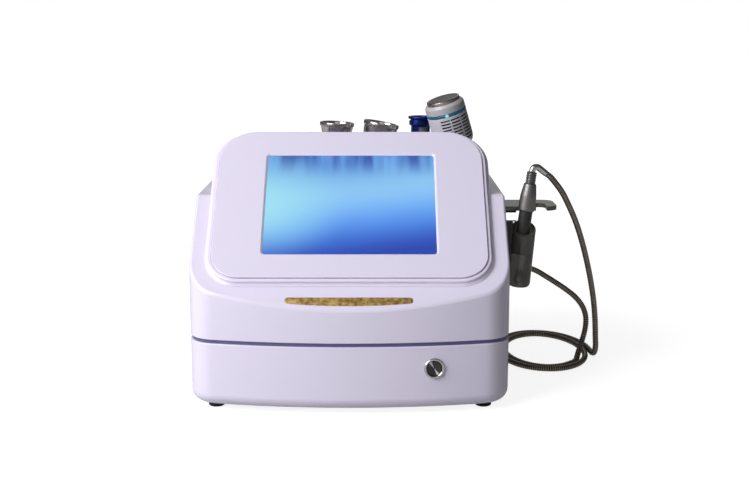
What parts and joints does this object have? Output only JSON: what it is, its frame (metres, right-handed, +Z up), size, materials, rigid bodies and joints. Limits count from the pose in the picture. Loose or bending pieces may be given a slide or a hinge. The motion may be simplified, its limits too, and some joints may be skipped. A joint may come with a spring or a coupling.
{
  "type": "vascular laser machine",
  "caption": "Table-top vascular laser unit with a sloped touch display, treatment heads in its rear deck and a fibre laser handpiece in a side cup.",
  "frame": {"origin": "centre of the box round the machine, without its free cable, at the level of the table", "axes": "+X to the right seen from the front, +Y to the rear, +Z up"},
  "size_m": [0.4308, 0.3204, 0.297],
  "materials": {
    "black_glass": "gloss",
    "black_metal": "satin",
    "black_plastic": "satin",
    "blue_metal": "anodised blue",
    "board_green": "satin",
    "cord_metal": "dark ribbed",
    "dark_steel": "radially brushed",
    "gold": "mottled satin",
    "grey_metal": "satin anodised",
    "grey_plastic": "satin",
    "lcd_metal": "satin",
    "lens": "gloss",
    "rubber": "matte",
    "seam_violet": "satin",
    "smoke": "smoked translucent",
    "steel": "polished",
    "teal_light": "translucent",
    "white_plastic": "gloss"
  },
  "bodies": {
    "root-body": {"base_shell": "white_plastic", "seam_strip": "seam_violet", "top_shell": "white_plastic", "name_plate": "gold", "screen_hood": "white_plastic", "screen_bezel": "white_plastic", "touch_glass": "black_glass", "lcd_module": "lcd_metal", "display_board": "board_green", "rubber_foot_1": "rubber", "case_screw_1": "steel", "rubber_foot_2": "rubber", "case_screw_2": "steel", "rubber_foot_3": "rubber", "case_screw_3": "steel", "rubber_foot_4": "rubber", "case_screw_4": "steel", "chassis_plate": "lcd_metal", "power_supply": "lcd_metal", "heat_sink": "steel", "laser_module": "black_metal", "control_board": "board_green", "fan_frame": "black_plastic", "fan_grille": "black_metal", "mains_inlet": "black_plastic", "power_button_ring": "steel", "power_button_body": "black_plastic", "power_button_nut": "steel", "well_cup_large": "black_plastic", "well_cup_small": "black_plastic", "well_cup_blue": "black_plastic", "well_cup_hammer": "black_plastic", "holder_plate": "smoke", "plate_bracket": "black_metal", "side_cup": "smoke", "cup_bracket": "black_plastic", "fibre_socket": "steel", "fibre_relief": "black_plastic", "fibre_lead": "cord_metal", "fibre_coil": "cord_metal", "fibre_riser": "cord_metal"},
    "power_button": {"power_button_cap": "dark_steel"},
    "mains_switch": {"mains_rocker": "black_plastic"},
    "fan": {"fan_rotor": "black_plastic"},
    "head_large": {"head_large_shell": "steel", "head_large_lens": "lens"},
    "head_small": {"head_small_shell": "steel", "head_small_lens": "lens"},
    "blue_head": {"blue_head_collar": "blue_metal", "blue_head_barrel": "grey_plastic", "blue_head_lens": "lens"},
    "cold_hammer": {"hammer_plate": "steel", "hammer_cap": "grey_plastic", "hammer_led_ring": "teal_light", "hammer_vent_body": "white_plastic", "hammer_grip": "grey_plastic"},
    "laser_handpiece": {"handpiece_barrel": "black_plastic", "handpiece_cone": "grey_metal", "handpiece_collar": "grey_metal", "handpiece_neck": "steel"}
  },
  "joints": [
    {"name": "power_button_press", "type": "slide", "parent": "root-body", "child": "power_button", "axis": [-0.1358, 0.9907, 0], "range_m": [0, 0.0015], "stiffness_N_per_m": 400},
    {"name": "mains_switch_tip", "type": "hinge", "parent": "root-body", "child": "mains_switch", "pos_m": [-0.11425, 0.14411, 0.042], "axis": [1, 0, 0], "range_deg": [0, 16]},
    {"name": "fan_spin", "type": "hinge", "parent": "root-body", "child": "fan", "pos_m": [0.06175, 0.12451, 0.1169], "axis": [0, 1, 0], "continuous": true},
    {"name": "head_large_lift", "type": "slide", "parent": "root-body", "child": "head_large", "axis": [0.061, 0, 0.9981], "range_m": [0, 0.06]},
    {"name": "head_small_lift", "type": "slide", "parent": "root-body", "child": "head_small", "axis": [0.1908, 0, 0.9816], "range_m": [0, 0.06]},
    {"name": "blue_head_lift", "type": "slide", "parent": "root-body", "child": "blue_head", "axis": [0, 0, 1], "range_m": [0, 0.045]},
    {"name": "cold_hammer_lift", "type": "slide", "parent": "root-body", "child": "cold_hammer", "axis": [-0.2816, -0.1305, 0.9506], "range_m": [0, 0.03]},
    {"name": "handpiece_lift", "type": "slide", "parent": "root-body", "child": "laser_handpiece", "axis": [0.1305, 0, 0.9914], "range_m": [0, 0.045], "deforming": ["fibre_lead"]}
  ]
}
